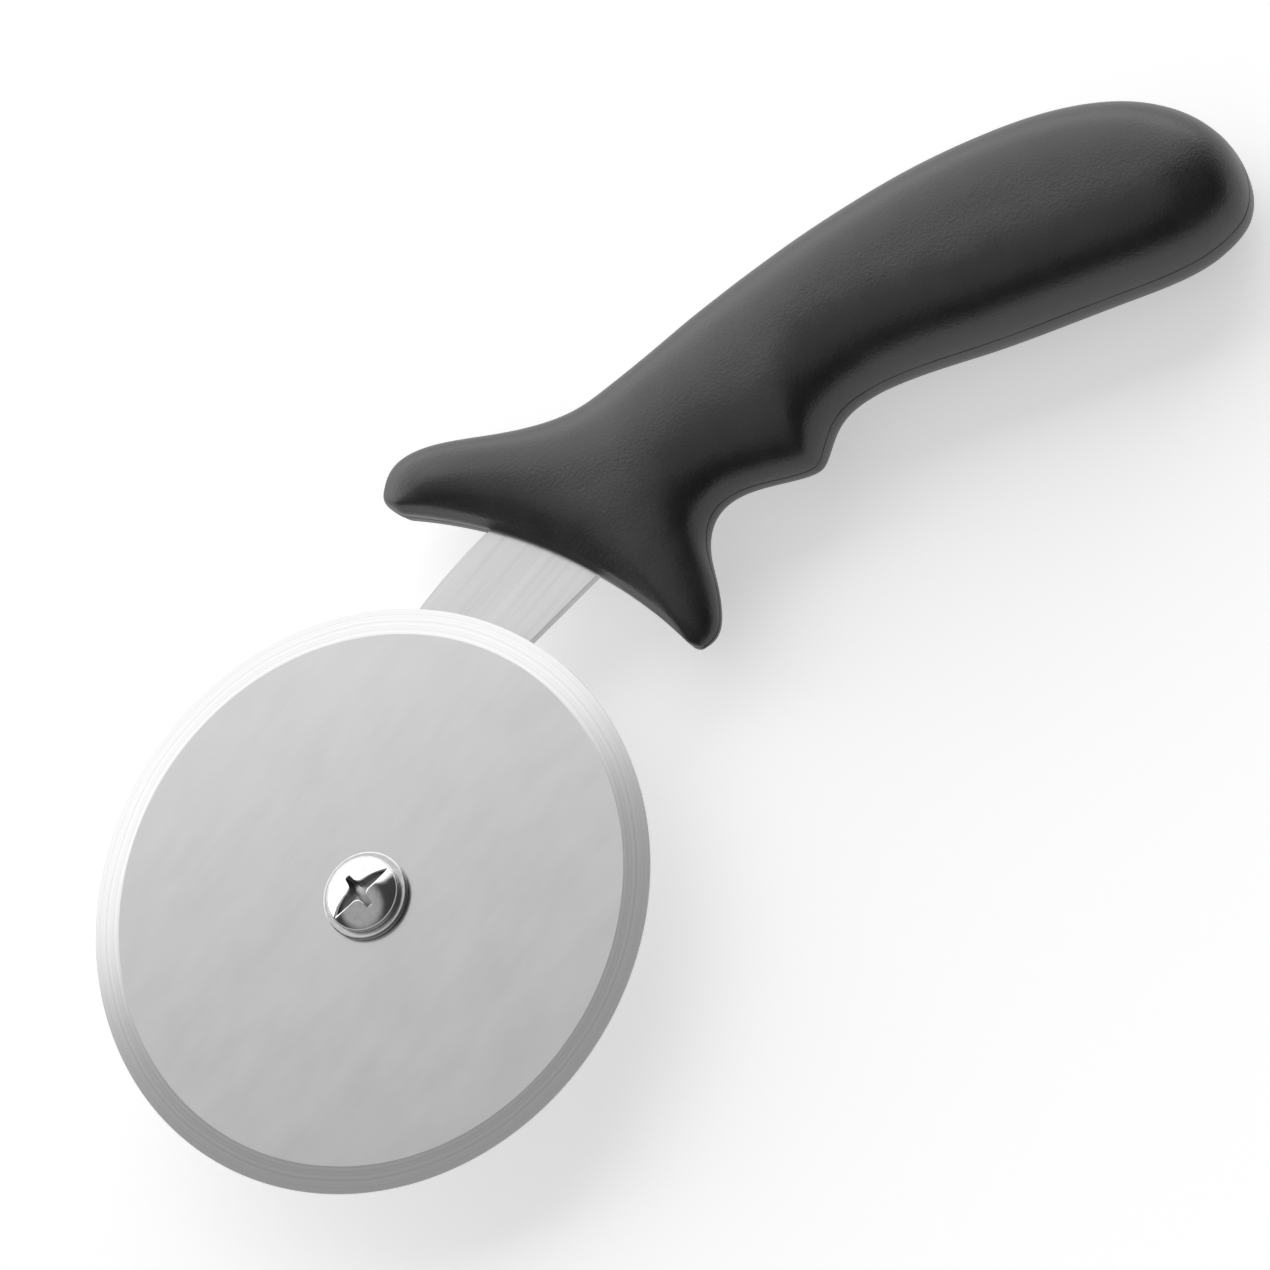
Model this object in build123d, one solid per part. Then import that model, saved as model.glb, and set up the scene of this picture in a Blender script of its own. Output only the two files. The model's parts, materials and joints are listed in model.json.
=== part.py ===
# Hand-held pizza cutter: a bevelled steel wheel that turns on a clamped sleeve, carried by
# a flat curved steel arm whose tang is trapped between the two moulded halves of the handle.
# The tool lies on its side: +Z is the wheel's axis with the screw head up, +X runs along the
# grip to its butt, and +Y points to the side of the upper finger guard horn.
# While it is built, the axle is at X = Y = 0 and the handle's joint face is at Z = 0.
from build123d import *
import math
import os

os.makedirs("parts", exist_ok=True)

# Shared sizes
overrun = 2.0
flat_fit = 0.1

# Cutting wheel
wheel_diameter = 101.6
wheel_thickness = 1.2
bevel_width = 4.6
edge_thickness = 0.25
running_clearance = 0.05
side_play = 0.15

# Axle stack, from the head down
screw_radius = 2.5
screw_clearance = 0.1
sleeve_wall = 1.4
head_washer_radius = 7.6
head_washer_thickness = 1.0
head_washer_chamfer = 0.3
spacer_radius = 7.0
spacer_thickness = 1.4
lock_washer_radius = 4.4
lock_washer_thickness = 1.2
lock_washer_slit = 0.9
lock_washer_slit_angle = 25.0
nut_across_flats = 8.0
nut_thickness = 4.0
nut_chamfer = 0.7
nut_chamfer_angle = 30.0
screw_tip = 1.2
screw_tip_chamfer = 0.5

# Screw head
head_radius = 6.5
head_rim = 1.1
head_dome = 1.9
slot_angle = 20.5
slot_length = 11.9
slot_width = 1.3
slot_depth = 1.8
cross_length = 6.5
cross_width = 1.5
cross_depth = 2.5

# Arm: a flat curved plate from the axle into the handle
arm_thickness = 1.5
arm_end_radius = 9.0
arm_entry_width = 21.0
arm_entry_angle = 23.0
arm_entry_offset = 1.1
arm_outer_straight = 11.0
arm_inner_straight = 19.0
tang_width = 13.0
tang_length = 54.0
tang_angle = 15.0
tang_setback = 14.0
tang_hole_spacing = 24.0
tang_hole_inset = 8.0

# Handle
guard_reach = 67.0
guard_angle = 43.5
guard_front_radius = 104.0
guard_front_flat = 1.6
guard_wall_height = 3.4
guard_wall_draft = 20.0
guard_roll_radius = 18.5
guard_roll_tilt = 50.0
guard_roll_last_tilt = 12.0
handle_length = 132.0
handle_depth = 62.6
handle_half_thickness = 13.2
shoulder_width = 3.6
neck_back_shoulder = 4.5
neck_belly_shoulder = 8.5
side_roundness = 2.4
least_roundness = 2.2
handle_wall = 3.0
pin_radius = 2.4
pin_length = 6.0
pin_clearance = 0.15
boss_radius = 4.6
section_points = 24

# Handle outline on the joint face, from the butt to the tips of the guard. Each place is a
# share of the handle's length and depth, counted from the middle of the guard's front edge.
back_edge_shares = [
    (1.000, 0.185), (0.997, 0.235), (0.986, 0.302), (0.962, 0.377), (0.926, 0.444),
    (0.872, 0.504), (0.796, 0.549), (0.705, 0.568), (0.600, 0.566), (0.502, 0.545),
    (0.426, 0.521), (0.366, 0.497), (0.335, 0.483), (0.315, 0.473), (0.261, 0.444),
    (0.201, 0.404), (0.136, 0.366), (0.066, 0.344), (-0.017, 0.373), (-0.093, 0.420),
    (-0.147, 0.436), (-0.177, 0.414), (-0.193, 0.372), (-0.193, 0.328), (-0.180, 0.296),
]
belly_edge_shares = [
    (1.000, 0.169), (0.997, 0.129), (0.987, 0.077), (0.964, 0.033), (0.928, 0.004),
    (0.872, -0.008), (0.796, 0.001), (0.705, 0.014), (0.607, 0.031), (0.517, 0.052),
    (0.447, 0.048), (0.390, -0.010), (0.364, -0.083), (0.353, -0.095), (0.309, -0.084),
    (0.249, -0.066), (0.207, -0.100), (0.189, -0.182), (0.186, -0.273), (0.181, -0.355),
    (0.172, -0.409), (0.160, -0.434), (0.147, -0.444), (0.136, -0.438), (0.128, -0.418),
]
half_thickness_shares = [
    0.050, 0.280, 0.535, 0.760, 0.910, 0.980, 0.996, 1.000, 0.985, 0.940, 0.886, 0.833,
    0.808, 0.795, 0.765, 0.742, 0.725, 0.710, 0.685, 0.650, 0.600, 0.530, 0.420, 0.280, 0.030,
]
neck_first_station = 9
neck_last_station = 15
cavity_first_station = 4
cavity_last_station = 9
boss_stations = [5, 8]

# Places worked out from the sizes
arm_top = arm_thickness / 2
sleeve_bottom = arm_top + spacer_thickness
sleeve_length = wheel_thickness + 2 * side_play
wheel_bottom = sleeve_bottom + side_play
washer_bottom = sleeve_bottom + sleeve_length
head_bottom = washer_bottom + head_washer_thickness
lock_washer_bottom = -arm_top - lock_washer_thickness
nut_bottom = lock_washer_bottom - nut_thickness
screw_bottom = nut_bottom - screw_tip
stack_hole_radius = screw_radius + screw_clearance
sleeve_radius = stack_hole_radius + sleeve_wall
wheel_bore_radius = sleeve_radius + running_clearance


def direction(angle):
    """Unit vector in the plane of the wheel, at an angle from +X in degrees."""
    return Vector(math.cos(math.radians(angle)), math.sin(math.radians(angle)), 0)


guard_middle = guard_reach * direction(guard_angle)
guard_front_centre = guard_middle - guard_front_radius * direction(guard_angle)
arm_entry = guard_middle + arm_entry_offset * direction(arm_entry_angle + 90)


def disc_with_hole(radius, hole_radius, thickness, bottom):
    """A flat ring that stands on the height given as its bottom."""
    ring = Cylinder(radius, thickness, align=(Align.CENTER, Align.CENTER, Align.MIN))
    ring -= Cylinder(hole_radius, 2 * thickness + 2 * overrun)
    return Pos(0, 0, bottom) * ring


def post(place, radius, bottom, top):
    """A round post between two heights."""
    return Pos(place.X, place.Y, bottom) * Cylinder(
        radius, top - bottom, align=(Align.CENTER, Align.CENTER, Align.MIN)
    )


def cutting_wheel():
    """A disc ground to a cutting edge by the same bevel on both faces."""
    rim = wheel_diameter / 2
    half = wheel_thickness / 2
    edge = edge_thickness / 2
    with BuildPart() as wheel:
        with BuildSketch(Plane.XZ):
            with BuildLine():
                Polyline(
                    (wheel_bore_radius, -half),
                    (rim - bevel_width, -half),
                    (rim, -edge),
                    (rim, edge),
                    (rim - bevel_width, half),
                    (wheel_bore_radius, half),
                    close=True,
                )
            make_face()
        revolve(axis=Axis.Z)
    return Pos(0, 0, wheel_bottom + half) * wheel.part


def axle_screw():
    """Truss head screw with a long slot crossed by a short one, seen from the head side."""
    crown = head_bottom + head_rim + head_dome
    with BuildPart() as screw:
        with BuildSketch(Plane.XZ):
            with BuildLine():
                Polyline(
                    (0, crown),
                    (0, screw_bottom),
                    (screw_radius - screw_tip_chamfer, screw_bottom),
                    (screw_radius, screw_bottom + screw_tip_chamfer),
                    (screw_radius, head_bottom),
                    (head_radius, head_bottom),
                    (head_radius, head_bottom + head_rim),
                )
                dome_radius = (head_radius**2 + head_dome**2) / (2 * head_dome)
                RadiusArc((head_radius, head_bottom + head_rim), (0, crown), -dome_radius)
            make_face()
        revolve(axis=Axis.Z)
    standing = (Align.CENTER, Align.CENTER, Align.MIN)
    slot = Box(slot_length, slot_width, slot_depth + overrun, align=standing)
    cross = Box(cross_width, cross_length, cross_depth + overrun, align=standing)
    cross += Box(cross_length, cross_width, cross_depth + overrun, align=standing)
    recess = Pos(0, 0, crown - slot_depth) * slot + Pos(0, 0, crown - cross_depth) * cross
    return screw.part - Rot(0, 0, slot_angle) * recess


def head_washer():
    """Flat washer under the screw head, with its upper rim turned down."""
    ring = disc_with_hole(head_washer_radius, stack_hole_radius, head_washer_thickness, washer_bottom)
    outer_edges = ring.edges().filter_by(GeomType.CIRCLE).sort_by(SortBy.LENGTH)[-2:]
    return chamfer(outer_edges.sort_by(Axis.Z)[-1], head_washer_chamfer)


def lock_washer():
    """Split spring washer, drawn flat as it is when the nut is tight."""
    ring = disc_with_hole(lock_washer_radius, stack_hole_radius, lock_washer_thickness, lock_washer_bottom)
    slit = Box(
        lock_washer_slit,
        lock_washer_radius + overrun,
        2 * (lock_washer_thickness + overrun),
        align=(Align.CENTER, Align.MIN, Align.CENTER),
    )
    slit = Rot(0, lock_washer_slit_angle, 0) * slit
    return ring - Pos(0, 0, lock_washer_bottom + lock_washer_thickness / 2) * slit


def hex_nut():
    """Hexagon nut with its outer corners turned down."""
    with BuildPart() as nut:
        with BuildSketch(Plane.XY.offset(nut_bottom)):
            RegularPolygon(nut_across_flats / 2, 6, major_radius=False)
            Circle(screw_radius, mode=Mode.SUBTRACT)
        extrude(amount=nut_thickness)
    corner = nut_across_flats / math.sqrt(3)
    with BuildPart() as turned:
        with BuildSketch(Plane.XZ):
            with BuildLine():
                Polyline(
                    (0, nut_bottom),
                    (corner - nut_chamfer, nut_bottom),
                    (corner, nut_bottom + nut_chamfer * math.tan(math.radians(nut_chamfer_angle))),
                    (corner, nut_bottom + nut_thickness),
                    (0, nut_bottom + nut_thickness),
                    close=True,
                )
            make_face()
        revolve(axis=Axis.Z)
    return nut.part & turned.part


def arc_middle(centre, start, end):
    """Middle point of the short arc between two points round a centre."""
    outward = (start - centre) + (end - centre)
    return centre + outward * ((start - centre).length / outward.length)


def arm_outline(grow=0.0):
    """Flat outline of the arm and its tang: parallel edges at the guard, a tangent arc from
    each to the round axle end, and a narrower tang that turns along the grip."""
    heading = direction(arm_entry_angle)
    side = direction(arm_entry_angle + 90)
    outer = arm_entry + side * (arm_entry_width / 2)
    inner = arm_entry - side * (arm_entry_width / 2)
    outer_knee = outer - heading * arm_outer_straight
    inner_knee = inner - heading * arm_inner_straight
    down = -side
    end = arm_end_radius
    outer_radius = (outer_knee.dot(outer_knee) - end**2) / (-2 * (end + outer_knee.dot(down)))
    outer_centre = outer_knee + down * outer_radius
    outer_touch = outer_centre * (-end / outer_centre.length)
    inner_radius = (inner_knee.dot(inner_knee) - end**2) / (2 * (end - inner_knee.dot(down)))
    inner_centre = inner_knee + down * inner_radius
    inner_touch = inner_centre * (end / inner_centre.length)
    far_end = guard_middle * (-end / guard_middle.length)
    outer_middle = arc_middle(outer_centre, outer_knee, outer_touch)
    inner_middle = arc_middle(inner_centre, inner_knee, inner_touch)
    shoulder_outer = outer + heading * tang_setback
    shoulder_inner = inner + heading * tang_setback
    with BuildSketch() as plate:
        with BuildLine():
            ThreePointArc(outer_knee, outer_middle, outer_touch)
            ThreePointArc(outer_touch, far_end, inner_touch)
            ThreePointArc(inner_touch, inner_middle, inner_knee)
            Polyline(inner_knee, shoulder_inner, shoulder_outer, outer_knee)
        make_face()
    tang_start = arm_entry + heading * (tang_setback - tang_width / 2)
    tang_end = tang_start + direction(tang_angle) * (tang_length - tang_width / 2)
    middle = (tang_start + tang_end) * 0.5
    tang = Pos(middle.X, middle.Y) * Rot(0, 0, tang_angle) * SlotCenterToCenter(
        (tang_end - tang_start).length, tang_width
    )
    outline = plate.sketch + tang
    if grow:
        outline = offset(outline, amount=grow)
    return outline


def tang_hole_places():
    """The two places where the handle's moulded pins pass through the tang."""
    start = arm_entry + direction(arm_entry_angle) * (tang_setback - tang_width / 2)
    first = start + direction(tang_angle) * tang_hole_inset
    return [first, first + direction(tang_angle) * tang_hole_spacing]


def wheel_arm():
    """Flat stamped arm with its axle hole and the two holes in its tang."""
    plate = extrude(arm_outline(), amount=arm_top, both=True)
    plate -= Cylinder(stack_hole_radius, arm_thickness + 2 * overrun)
    for place in tang_hole_places():
        plate -= post(place, pin_radius + pin_clearance, -arm_thickness, arm_thickness)
    return plate


def edge_point(shares):
    """A point of the handle's outline from its shares of the handle's length and depth."""
    return guard_middle + Vector(shares[0] * handle_length, shares[1] * handle_depth, 0)


def section_roundness(station, half_width, neck_shoulder):
    """Power that gives one side of a section its shoulder, which widens along the neck."""
    neck = (station - neck_first_station) / (neck_last_station - neck_first_station)
    neck = min(max(neck, 0), 1)
    shoulder = shoulder_width + (neck_shoulder - shoulder_width) * neck**2 * (3 - 2 * neck)
    shoulder = min(shoulder, half_width * (1 - 0.5 ** (1 / least_roundness)))
    return math.log(0.5) / math.log(1 - shoulder / half_width)


def handle_section(station, wall=0.0):
    """Closed rounded section that stands on the chord from the back edge to the belly edge."""
    back = edge_point(back_edge_shares[station])
    belly = edge_point(belly_edge_shares[station])
    along = (belly - back).normalized()
    half_width = (belly - back).length / 2 - wall
    half_height = half_thickness_shares[station] * handle_half_thickness - wall
    middle = (back + belly) * 0.5
    back_roundness = section_roundness(station, half_width, neck_back_shoulder)
    belly_roundness = section_roundness(station, half_width, neck_belly_shoulder)
    points = []
    for step in range(section_points):
        turn = 2 * math.pi * (step + 0.5) / section_points
        roundness = belly_roundness if math.cos(turn) > 0 else back_roundness
        across = math.copysign(abs(math.cos(turn)) ** (2 / roundness), math.cos(turn))
        rise = math.copysign(abs(math.sin(turn)) ** (2 / side_roundness), math.sin(turn))
        points.append(middle + along * (across * half_width) + Vector(0, 0, rise * half_height))
    marks = [step / section_points for step in range(section_points + 1)]
    return Wire([Edge.make_spline(points, periodic=True, parameters=marks)])


def guard_front_tool():
    """Turned cutter, larger than the guard, that leaves its front edge curved along the guard:
    a narrow flat at the joint face, a wall with draft, and a long roll into each broad face."""
    high = handle_half_thickness + overrun
    flat = guard_front_flat / 2
    wall_top = guard_front_radius + (guard_wall_height - flat) * math.tan(math.radians(guard_wall_draft))
    tilts = [guard_roll_tilt, (guard_roll_tilt + guard_roll_last_tilt) / 2, guard_roll_last_tilt]
    first = math.radians(guard_roll_tilt)
    roll = [
        (
            wall_top + guard_roll_radius * (math.sin(first) - math.sin(math.radians(tilt))),
            guard_wall_height + guard_roll_radius * (math.cos(math.radians(tilt)) - math.cos(first)),
        )
        for tilt in tilts
    ]
    low_roll = [(place, -height) for place, height in roll]
    back = roll[-1][0]
    with BuildPart() as tool:
        with BuildSketch(Plane.XZ):
            with BuildLine():
                Polyline(low_roll[-1], (back, -high), (0, -high), (0, high), (back, high), roll[-1])
                ThreePointArc(roll[2], roll[1], roll[0])
                Polyline(roll[0], (guard_front_radius, flat), (guard_front_radius, -flat), low_roll[0])
                ThreePointArc(low_roll[0], low_roll[1], low_roll[2])
            make_face()
        revolve(axis=Axis.Z)
    return Pos(guard_front_centre.X, guard_front_centre.Y) * tool.part


def handle_form():
    """Outer form of the whole handle, before it is parted into two shells."""
    sections = [handle_section(station) for station in range(len(back_edge_shares))]
    return Solid.make_loft(sections) - guard_front_tool()


def palm_cavity():
    """Hollow inside the palm swell, one wall thickness inside the outer form."""
    stations = range(cavity_first_station, cavity_last_station + 1)
    return Solid.make_loft([handle_section(station, handle_wall) for station in stations])


def boss_place(station):
    """Centre of a boss that locks the shells together, on the middle of a station's chord."""
    return (edge_point(back_edge_shares[station]) + edge_point(belly_edge_shares[station])) * 0.5


def handle_shell(side):
    """One moulded half: the outer form on its side of the joint face, hollow in the palm,
    with the bosses left standing and a shallow pocket that traps the arm's tang."""
    half = split(handle_form(), bisect_by=Plane.XY, keep=Keep.TOP)
    shell = half - palm_cavity()
    for station in boss_stations:
        inside = half_thickness_shares[station] * handle_half_thickness - handle_wall / 2
        shell += post(boss_place(station), boss_radius, 0, inside)
    if side < 0:
        shell = mirror(shell, about=Plane.XY)
    return shell - extrude(arm_outline(flat_fit), amount=arm_top + flat_fit, both=True)


def handle_front_shell():
    """Front half, with four moulded pins that stand towards the rear half."""
    shell = handle_shell(1)
    for place in tang_hole_places():
        shell += post(place, pin_radius, -arm_top - pin_length, arm_top + flat_fit)
    for station in boss_stations:
        shell += post(boss_place(station), pin_radius, -pin_length, 0)
    return shell


def handle_rear_shell():
    """Rear half, with a socket for each pin of the front half."""
    shell = handle_shell(-1)
    socket_radius = pin_radius + pin_clearance
    for place in tang_hole_places():
        shell -= post(place, socket_radius, -arm_top - pin_length - flat_fit, 0)
    for station in boss_stations:
        shell -= post(boss_place(station), socket_radius, -pin_length - flat_fit, 0)
    return shell


pieces = {
    "cutting_wheel": cutting_wheel(),
    "axle_screw": axle_screw(),
    "head_washer": head_washer(),
    "wheel_sleeve": disc_with_hole(sleeve_radius, stack_hole_radius, sleeve_length, sleeve_bottom),
    "spacer_washer": disc_with_hole(spacer_radius, stack_hole_radius, spacer_thickness, arm_top),
    "wheel_arm": wheel_arm(),
    "lock_washer": lock_washer(),
    "hex_nut": hex_nut(),
    "handle_front_shell": handle_front_shell(),
    "handle_rear_shell": handle_rear_shell(),
}

# The finished tool stands on Z = 0 with the middle of its box over the origin.
boxes = [piece.bounding_box() for piece in pieces.values()]
low = [min(tuple(box.min)[axis] for box in boxes) for axis in range(3)]
high = [max(tuple(box.max)[axis] for box in boxes) for axis in range(3)]
axle = Vector(-(low[0] + high[0]) / 2, -(low[1] + high[1]) / 2, -low[2])
for name, piece in pieces.items():
    export_step(Pos(axle) * piece, f"parts/{name}.step")
print("axle at", round(axle.X, 3), round(axle.Y, 3), "joint face at", round(axle.Z, 3))
print("size", [round(top - bottom, 2) for bottom, top in zip(low, high)])
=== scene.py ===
# Looks of a hand-held pizza cutter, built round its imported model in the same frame, in metres.
# The tool lies on its side: +Z is the wheel's axis with the screw head up, +X runs along the grip
# to its butt, and +Y points to the side of the upper horn of the finger guard.
import json
import math
import bmesh
import bpy
import numpy as np
from mathutils import Matrix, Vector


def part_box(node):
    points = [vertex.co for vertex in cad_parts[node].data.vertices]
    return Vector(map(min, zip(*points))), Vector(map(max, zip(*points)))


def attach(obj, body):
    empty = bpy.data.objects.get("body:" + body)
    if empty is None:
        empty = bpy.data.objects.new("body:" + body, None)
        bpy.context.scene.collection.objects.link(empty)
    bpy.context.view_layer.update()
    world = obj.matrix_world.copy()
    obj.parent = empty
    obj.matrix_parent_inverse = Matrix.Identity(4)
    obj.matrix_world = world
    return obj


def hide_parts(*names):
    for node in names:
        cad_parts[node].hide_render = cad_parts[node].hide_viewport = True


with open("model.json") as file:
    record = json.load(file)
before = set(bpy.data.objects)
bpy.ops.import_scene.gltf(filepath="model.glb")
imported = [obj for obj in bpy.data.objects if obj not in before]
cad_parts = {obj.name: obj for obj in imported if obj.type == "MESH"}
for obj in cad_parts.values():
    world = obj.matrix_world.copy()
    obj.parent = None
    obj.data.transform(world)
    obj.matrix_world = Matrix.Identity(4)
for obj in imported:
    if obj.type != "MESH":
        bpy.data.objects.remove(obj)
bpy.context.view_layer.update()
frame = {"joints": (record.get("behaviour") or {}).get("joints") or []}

mm = 0.001
axle = np.array(frame["joints"][0]["pos_m"])


# Arm: one flat piece of stainless steel, blanked in a press and brushed along its length. Its
# edges are barely broken. The tang runs on inside the handle, where two moulded pins hold it.
arm_low, arm_high = (np.array(corner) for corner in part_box("wheel_arm"))
joint_height = (arm_low[2] + arm_high[2]) / 2
guard_reach = 67.0 * mm
guard_angle = math.radians(43.5)
guard_middle = guard_reach * np.array([math.cos(guard_angle), math.sin(guard_angle)])
arm_end_radius = 9.0 * mm
arm_entry_width = 21.0 * mm
arm_entry_angle = math.radians(23.0)
arm_entry_offset = 1.1 * mm
arm_outer_straight = 11.0 * mm
arm_inner_straight = 19.0 * mm
arm_edge_round = 0.12 * mm
tang_width = 13.0 * mm
tang_length = 54.0 * mm
tang_angle = math.radians(15.0)
tang_setback = 14.0 * mm
tang_hole_radius = 2.55 * mm
tang_hole_inset = 8.0 * mm
tang_hole_spacing = 24.0 * mm
axle_hole_radius = 2.6 * mm
arm_arc_steps = 48
tang_arc_steps = 32
arm_sharp_angle = 15.0
arm_brush_turn = math.radians(6.0)


def heading(angle):
    """Unit vector in the plane of the wheel, at an angle from +X."""
    return np.array([math.cos(angle), math.sin(angle)])


def arc(centre, start, end, turn, steps):
    """Points from start towards end round a centre, the start's radius all the way. turn is +1
    for anticlockwise and -1 for clockwise, and the last point is left to the next stretch."""
    first = math.atan2(start[1] - centre[1], start[0] - centre[0])
    last = math.atan2(end[1] - centre[1], end[0] - centre[0])
    sweep = (turn * (last - first)) % (2 * math.pi)
    angles = first + turn * sweep * np.arange(steps) / steps
    radius = np.linalg.norm(np.subtract(start, centre))
    return centre + radius * np.stack([np.cos(angles), np.sin(angles)], axis=1)


def round_angles(steps):
    """Angles of evenly spaced places once round, from +X."""
    return 2 * math.pi * np.arange(steps) / steps


def ring_points(centre, radius, steps):
    """A circle's points, clockwise, as the edge of a hole."""
    angles = -round_angles(steps)
    return centre + radius * np.stack([np.cos(angles), np.sin(angles)], axis=1)


def arm_edge():
    """The arm's outline, anticlockwise: from the axle end along the inner edge, round the tang
    and back along the outer edge. Both long edges leave the guard parallel, and a tangent arc
    carries each to the axle end."""
    along = heading(arm_entry_angle)
    side = heading(arm_entry_angle + math.pi / 2)
    entry = guard_middle + arm_entry_offset * heading(arm_entry_angle + math.pi / 2)
    outer = entry + side * arm_entry_width / 2
    inner = entry - side * arm_entry_width / 2
    outer_knee = outer - along * arm_outer_straight
    inner_knee = inner - along * arm_inner_straight
    end = arm_end_radius
    outer_radius = (outer_knee @ outer_knee - end**2) / (2 * (outer_knee @ side - end))
    outer_centre = outer_knee - side * outer_radius
    outer_touch = -outer_centre * end / np.linalg.norm(outer_centre)
    inner_radius = (inner_knee @ inner_knee - end**2) / (2 * (end + inner_knee @ side))
    inner_centre = inner_knee - side * inner_radius
    inner_touch = inner_centre * end / np.linalg.norm(inner_centre)
    tang_along = heading(tang_angle)
    tang_side = heading(tang_angle + math.pi / 2)
    tang_start = entry + along * (tang_setback - tang_width / 2)
    tang_end = tang_start + tang_along * (tang_length - tang_width / 2)
    half = tang_width / 2
    shoulder = entry + along * tang_setback
    inner_meet = (shoulder - tang_start + tang_side * half) @ along / (tang_along @ along)
    outer_meet = (shoulder - tang_start - tang_side * half) @ along / (tang_along @ along)
    edge = [
        arc(np.zeros(2), outer_touch, inner_touch, 1, arm_arc_steps),
        arc(inner_centre, inner_touch, inner_knee, -1, arm_arc_steps),
        [inner_knee, inner + along * tang_setback],
        [tang_start - tang_side * half + tang_along * inner_meet],
        arc(tang_end, tang_end - tang_side * half, tang_end + tang_side * half, 1, tang_arc_steps),
        [tang_end + tang_side * half, tang_start + tang_side * half + tang_along * outer_meet],
        [outer + along * tang_setback],
        arc(outer_centre, outer_knee, outer_touch, 1, arm_arc_steps),
    ]
    holes = [tang_start + tang_along * (tang_hole_inset + k * tang_hole_spacing) for k in (0, 1)]
    return np.concatenate([np.asarray(part) for part in edge]), holes


def loop_sides(loop):
    """Unit vectors that point to the right of a closed loop's own run, one for each point."""
    run = np.roll(loop, -1, axis=0) - np.roll(loop, 1, axis=0)
    run = run / np.linalg.norm(run, axis=1)[:, None]
    return np.stack([run[:, 1], -run[:, 0]], axis=1)


def finished_mesh(name, shape):
    """A mesh of a bmesh, with all its faces pointing outwards."""
    bmesh.ops.recalc_face_normals(shape, faces=shape.faces)
    mesh = bpy.data.meshes.new(name)
    shape.to_mesh(mesh)
    shape.free()
    return mesh


def plate_mesh(name, loops, low, high, edge):
    """A flat plate whose edges are carried round its loops: each edge is a quarter round of
    radius edge, an upright wall, and a quarter round. Both faces are filled between the loops."""
    turn = np.radians([0.0, 45.0, 90.0])
    inset = np.concatenate([edge * (1 - np.sin(turn)), edge * (1 - np.sin(turn[::-1]))])
    height = np.concatenate([low + edge * (1 - np.cos(turn)), high - edge * (1 - np.cos(turn[::-1]))])
    shape = bmesh.new()
    rims = []
    for loop in loops:
        sides = loop_sides(loop)
        rings = []
        for step, level in zip(inset, height):
            ring = loop - sides * step
            rings.append([shape.verts.new((x, y, level)) for x, y in ring])
        for below, above in zip(rings, rings[1:]):
            for k in range(len(loop)):
                after = (k + 1) % len(loop)
                shape.faces.new((below[k], below[after], above[after], above[k]))
        rims.append((rings[0], rings[-1]))
    for place in (0, 1):
        edges = []
        for rim in rims:
            ring = rim[place]
            edges += [shape.edges.get(pair) for pair in zip(ring, ring[1:] + ring[:1])]
        bmesh.ops.triangle_fill(shape, edges=edges, use_beauty=True, use_dissolve=False)
    return finished_mesh(name, shape)


def show(mesh, smooth_angle, material, body, slot_name, *nodes):
    """Makes a finished mesh a piece of the tool: shaded smooth up to an angle, with its finish,
    on the body that carries it, in place of the nodes that it stands for."""
    mesh.shade_smooth()
    mesh.set_sharp_from_angle(angle=math.radians(smooth_angle))
    mesh.materials.append(material)
    piece = bpy.data.objects.new(mesh.name, mesh)
    bpy.context.scene.collection.objects.link(piece)
    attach(piece, body)
    if nodes:
        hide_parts(*nodes)


def new_material(name):
    """A new material, its node tree and its one Principled shader."""
    material = bpy.data.materials.new(name)
    material.use_nodes = True
    return material, material.node_tree, material.node_tree.nodes["Principled BSDF"]


def add_node(tree, kind, settings=None, **inputs):
    """A node of a kind, with its settings and its input values. An input may be another socket."""
    node = tree.nodes.new(kind)
    for key, value in (settings or {}).items():
        setattr(node, key, value)
    for key, value in inputs.items():
        socket = node.inputs[int(key[1:])] if key[0] == "i" and key[1:].isdigit() else node.inputs[key]
        if isinstance(value, bpy.types.NodeSocket):
            tree.links.new(value, socket)
        else:
            socket.default_value = value
    return node


def combine(tree, operation, *values):
    """The values joined one after another by a sum, a product or the like, as one socket."""
    result = values[0]
    for value in values[1:]:
        result = add_node(tree, "ShaderNodeMath", {"operation": operation}, i0=result, i1=value).outputs[0]
    return result


def ramp(tree, factor, stops):
    """A colour ramp with its stops given as place and colour, or place and grey level."""
    node = add_node(tree, "ShaderNodeValToRGB", Fac=factor)
    bands = node.color_ramp.elements
    while len(bands) < len(stops):
        bands.new(0.5)
    for band, (place, level) in zip(bands, stops):
        band.position = place
        band.color = (*np.broadcast_to(level, 3), 1.0)
    return node.outputs["Color"]


def spread(tree, share, low, high):
    """A share from 0 to 1 carried onto the range from low to high."""
    return add_node(tree, "ShaderNodeMapRange", Value=share, i3=low, i4=high).outputs["Result"]


def noise(tree, place, scale, detail, roughness=0.5):
    """Fractal noise from 0 to 1 at a place."""
    texture = add_node(tree, "ShaderNodeTexNoise", Vector=place, Scale=scale, Detail=detail)
    texture.inputs["Roughness"].default_value = roughness
    return texture.outputs["Fac"]


def turned_axes(tree, place, angle):
    """The place in axes turned by an angle about +Z."""
    inverse = {"vector_type": "TEXTURE"}
    node = add_node(tree, "ShaderNodeMapping", inverse, Vector=place, Rotation=(0.0, 0.0, angle))
    return node.outputs["Vector"]


def stretched(tree, place, scale):
    """The place with each axis multiplied by its own scale."""
    return add_node(tree, "ShaderNodeMapping", Vector=place, Scale=scale).outputs["Vector"]


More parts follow.
